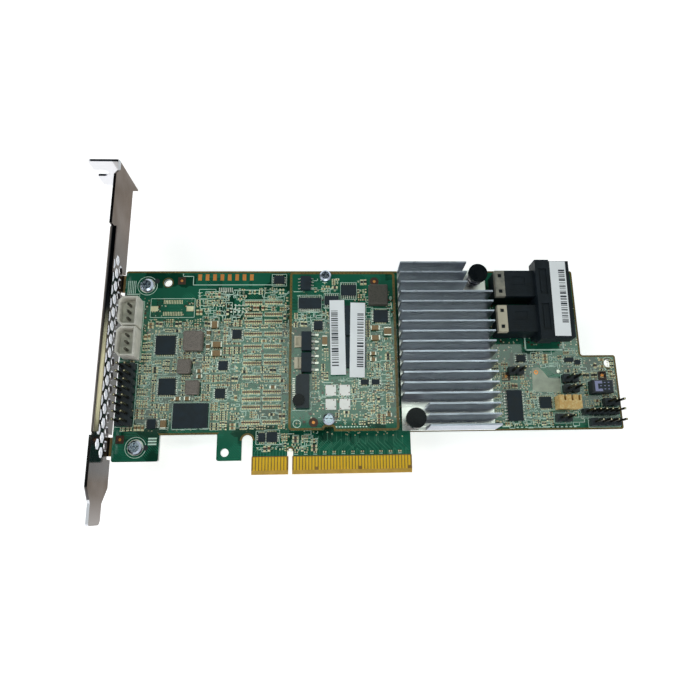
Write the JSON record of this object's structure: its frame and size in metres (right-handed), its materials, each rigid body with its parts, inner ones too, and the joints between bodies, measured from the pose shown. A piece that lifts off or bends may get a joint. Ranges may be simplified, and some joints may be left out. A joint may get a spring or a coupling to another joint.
{
  "type": "storage controller card",
  "caption": "Low-profile plug-in controller card on a full-height vented bracket, with a finned heatsink, a stacked cache module and angled internal cable ports.",
  "frame": {"origin": "middle of the key slot, on the contact end of the edge connector and on the board's component face", "axes": "+X along the board away from the bracket, +Y from the edge connector to the board's top edge, +Z out of the component face"},
  "size_m": [0.1805, 0.12, 0.0245],
  "materials": {
    "solder_mask": "glossy green solder mask",
    "gold": "bright plated",
    "bracket_steel": "bright nickel plate",
    "screw_steel": "bright zinc plate",
    "heatsink_metal": "satin extruded",
    "pin_plastic": "smooth black",
    "spring_steel": "drawn wire",
    "chip_black": "matte moulded",
    "substrate": "satin laminate",
    "silicon": "polished",
    "pad_grey": "soft matte",
    "port_plastic": "satin moulded",
    "clip_cream": "satin moulded",
    "label_white": "satin paper",
    "lead_tin": "bright tin",
    "standoff_brass": "turned",
    "connector_dark": "satin moulded",
    "ferrite_grey": "pressed powder",
    "ceramic_brown": "fired ceramic",
    "header_cream": "satin moulded"
  },
  "bodies": {
    "root": {"main_board": "solder_mask", "edge_contacts_front": "gold", "edge_contacts_back": "gold", "bracket": "bracket_steel", "bracket_screws": "screw_steel", "heatsink": "heatsink_metal", "push_pins": "pin_plastic", "push_pin_springs": "spring_steel", "controller_package": "substrate", "controller_die": "silicon", "thermal_pad": "pad_grey", "port_housing": "port_plastic", "port_clips": "clip_cream", "port_inserts": "connector_dark", "port_label": "label_white", "module_board": "solder_mask", "standoffs": "standoff_brass", "module_screws": "screw_steel", "mezzanine_receptacle": "connector_dark", "mezzanine_plug": "connector_dark", "memory_chips": "chip_black", "module_labels": "label_white", "module_chips": "chip_black", "module_leaded_chips": "chip_black", "module_chip_leads": "lead_tin", "module_inductor": "ferrite_grey", "module_capacitors": "ceramic_brown", "module_capacitor_ends": "lead_tin", "power_packages": "chip_black", "power_package_leads": "lead_tin", "power_tabs": "clip_cream", "block_connector": "connector_dark", "logic_chips": "chip_black", "end_chips": "chip_black", "flash_memory": "chip_black", "leaded_chips": "chip_black", "leaded_chip_leads": "lead_tin", "inductors": "ferrite_grey", "capacitors": "ceramic_brown", "capacitor_ends": "lead_tin", "main_header_base": "connector_dark", "main_header_pins": "gold", "end_header_bases": "connector_dark", "end_header_pins": "gold", "wire_headers": "header_cream", "wire_header_pins": "lead_tin", "cream_connector": "header_cream", "socket_block": "connector_dark", "solder_tails": "lead_tin"}
  },
  "joints": []
}
